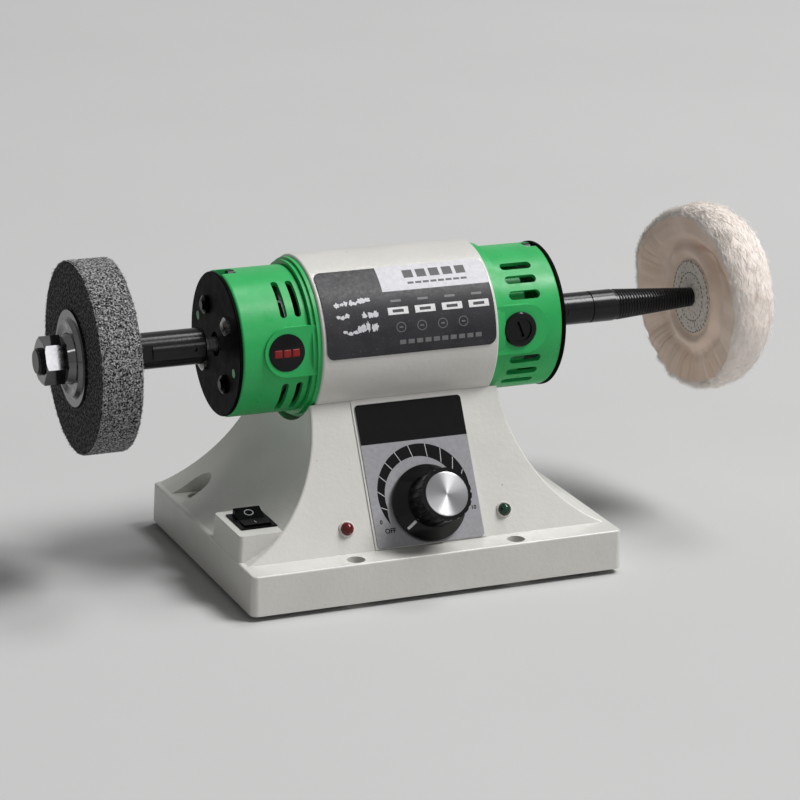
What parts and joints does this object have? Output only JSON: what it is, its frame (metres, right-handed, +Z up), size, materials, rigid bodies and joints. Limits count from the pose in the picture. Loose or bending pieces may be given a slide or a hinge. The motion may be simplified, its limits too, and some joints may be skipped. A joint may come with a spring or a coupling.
{
  "type": "bench polishing lathe",
  "caption": "Bench polishing lathe: flared base, motor in a saddle, fibre wheel on one spindle, cotton buff on a tapered one, speed knob and rocker switch.",
  "frame": {"origin": "on the bench, under the middle of the base's footprint", "axes": "+X along the shaft towards the buff, +Y to the back, +Z up"},
  "size_m": [0.3959, 0.1639, 0.1734],
  "materials": {
    "white_enamel": "cream-white enamel",
    "green_shell": "green moulding",
    "black_enamel": "black enamel",
    "black_steel": "blackened steel",
    "bright_steel": "turned steel",
    "zinc_steel": "zinc-plated steel",
    "chrome": "polished chrome",
    "spun_aluminium": "spun aluminium",
    "core_steel": "steel laminations",
    "copper": "enamelled copper",
    "black_plastic": "gloss black",
    "grey_plastic": "moulded plastic",
    "dark_plate": "dark printed plate",
    "panel_film": "printed film",
    "red_lens": "clear red",
    "green_lens": "clear green",
    "clear_collar": "clear pale",
    "board": "glass-fibre board",
    "carbon": "carbon",
    "rubber": "matt black",
    "grey_fibre": "bonded abrasive fibre",
    "cotton": "stitched cotton cloth",
    "fibre_disc": "pressed fibre"
  },
  "bodies": {
    "base": {"base_housing": "white_enamel", "bottom_plate": "zinc_steel", "foot_screws": "zinc_steel", "foot_1": "rubber", "foot_2": "rubber", "foot_3": "rubber", "foot_4": "rubber", "dial_plate": "panel_film", "lamp_red": "red_lens", "lamp_green": "green_lens", "lamp_collars": "clear_collar", "potentiometer": "grey_plastic", "pot_nut": "zinc_steel", "switch_frame": "black_plastic", "control_board": "board", "board_pillars": "grey_plastic", "heat_sink": "spun_aluminium", "capacitor": "black_plastic", "cord_inlet": "rubber", "motor_sleeve": "white_enamel", "saddle_screws": "zinc_steel", "nameplate": "dark_plate", "left_end_bell": "green_shell", "right_end_bell": "green_shell", "badge_disc": "black_plastic", "tie_bolts": "black_steel", "left_cover": "black_enamel", "right_cover": "black_enamel", "cover_screws": "zinc_steel", "left_bearing_outer": "bright_steel", "right_bearing_outer": "bright_steel", "stator_core": "core_steel", "field_coils": "copper", "brush_holder_front": "black_plastic", "brush_holder_back": "black_plastic", "brush_cap_front": "black_plastic", "brush_cap_back": "black_plastic", "brushes": "carbon", "brush_springs": "bright_steel"},
    "rotor": {"motor_shaft": "bright_steel", "armature_core": "core_steel", "armature_winding": "copper", "commutator": "copper", "cooling_fan": "grey_plastic", "left_bearing_inner": "bright_steel", "right_bearing_inner": "bright_steel", "left_spindle": "black_steel", "inner_flange": "black_steel", "fibre_wheel": "grey_fibre", "outer_flange": "chrome", "spindle_nut": "chrome", "right_spindle": "black_steel", "grub_screws": "black_steel", "buff_wheel": "cotton", "buff_disc_front": "fibre_disc", "buff_disc_back": "fibre_disc"},
    "knob": {"speed_knob": "black_plastic", "knob_cap": "spun_aluminium", "pot_shaft": "bright_steel"},
    "rocker_key": {"rocker": "black_plastic"}
  },
  "joints": [
    {"name": "rotor_spin", "type": "hinge", "parent": "base", "child": "rotor", "pos_m": [0, 0.0081, 0.1214], "axis": [1, 0, 0], "continuous": true},
    {"name": "speed_turn", "type": "hinge", "parent": "base", "child": "knob", "pos_m": [0.0021, -0.05328, 0.04266], "axis": [0, -0.8788, 0.4772], "range_deg": [-270, 0]},
    {"name": "switch_rock", "type": "hinge", "parent": "base", "child": "rocker_key", "pos_m": [-0.0884, -0.0352, 0.0382], "axis": [1, 0, 0], "range_deg": [-20, 0]}
  ]
}
